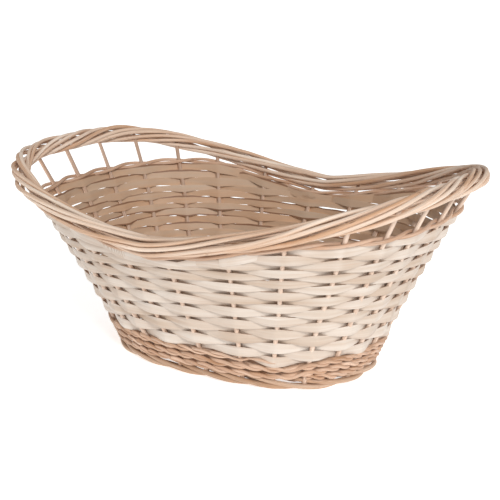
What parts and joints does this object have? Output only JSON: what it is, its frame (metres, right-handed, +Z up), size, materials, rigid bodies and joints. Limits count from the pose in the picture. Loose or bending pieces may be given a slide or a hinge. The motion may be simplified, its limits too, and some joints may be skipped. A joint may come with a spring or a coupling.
{
  "type": "woven fruit basket",
  "caption": "Oval open willow basket with flared woven sides, a rope-twist rim that sweeps up at both ends, open hand gaps under it and a low coiled foot.",
  "frame": {"origin": "on the ground, under the middle of the base", "axes": "+X along the basket's long axis, +Y across it, +Z up out of its mouth"},
  "size_m": [0.4596, 0.3366, 0.1989],
  "materials": {
    "willow_stake": "bare peeled willow, matt",
    "split_wood_ribbon": "bare pale split wood, fine grain, faint sheen",
    "willow_weaver": "bare pinkish-tan willow, matt",
    "willow_foot": "bare tan willow, matt",
    "willow_rim": "bare light tan willow, faint sheen",
    "willow_base": "bare tan willow, matt"
  },
  "bodies": {
    "root": {"base_mat": "willow_base", "cross_stick_1": "willow_base", "cross_stick_2": "willow_base", "cross_stick_3": "willow_base", "end_ribbon_left_1": "split_wood_ribbon", "end_ribbon_left_2": "split_wood_ribbon", "end_ribbon_left_3": "split_wood_ribbon", "end_ribbon_right_1": "split_wood_ribbon", "end_ribbon_right_2": "split_wood_ribbon", "end_ribbon_right_3": "split_wood_ribbon", "foot_border": "willow_foot", "long_stick_1": "willow_base", "long_stick_2": "willow_base", "long_stick_3": "willow_base", "ribbon_01": "split_wood_ribbon", "ribbon_02": "split_wood_ribbon", "ribbon_03": "split_wood_ribbon", "ribbon_04": "split_wood_ribbon", "ribbon_05": "split_wood_ribbon", "ribbon_06": "split_wood_ribbon", "ribbon_07": "split_wood_ribbon", "ribbon_08": "split_wood_ribbon", "ribbon_09": "split_wood_ribbon", "ribbon_10": "split_wood_ribbon", "ribbon_11": "split_wood_ribbon", "ribbon_12": "split_wood_ribbon", "ribbon_13": "split_wood_ribbon", "ribbon_14": "split_wood_ribbon", "rim_strand_1": "willow_rim", "rim_strand_2": "willow_rim", "rim_strand_3": "willow_rim", "rim_strand_4": "willow_rim", "stake_01": "willow_stake", "stake_02": "willow_stake", "stake_03": "willow_stake", "stake_04": "willow_stake", "stake_05": "willow_stake", "stake_06": "willow_stake", "stake_07": "willow_stake", "stake_08": "willow_stake", "stake_09": "willow_stake", "stake_10": "willow_stake", "stake_11": "willow_stake", "stake_12": "willow_stake", "stake_13": "willow_stake", "stake_14": "willow_stake", "stake_15": "willow_stake", "stake_16": "willow_stake", "stake_17": "willow_stake", "stake_18": "willow_stake", "stake_19": "willow_stake", "stake_20": "willow_stake", "stake_21": "willow_stake", "stake_22": "willow_stake", "stake_23": "willow_stake", "stake_24": "willow_stake", "top_rod": "willow_weaver", "wale_01": "willow_weaver", "wale_02": "willow_weaver", "wale_03": "willow_weaver"}
  },
  "joints": []
}
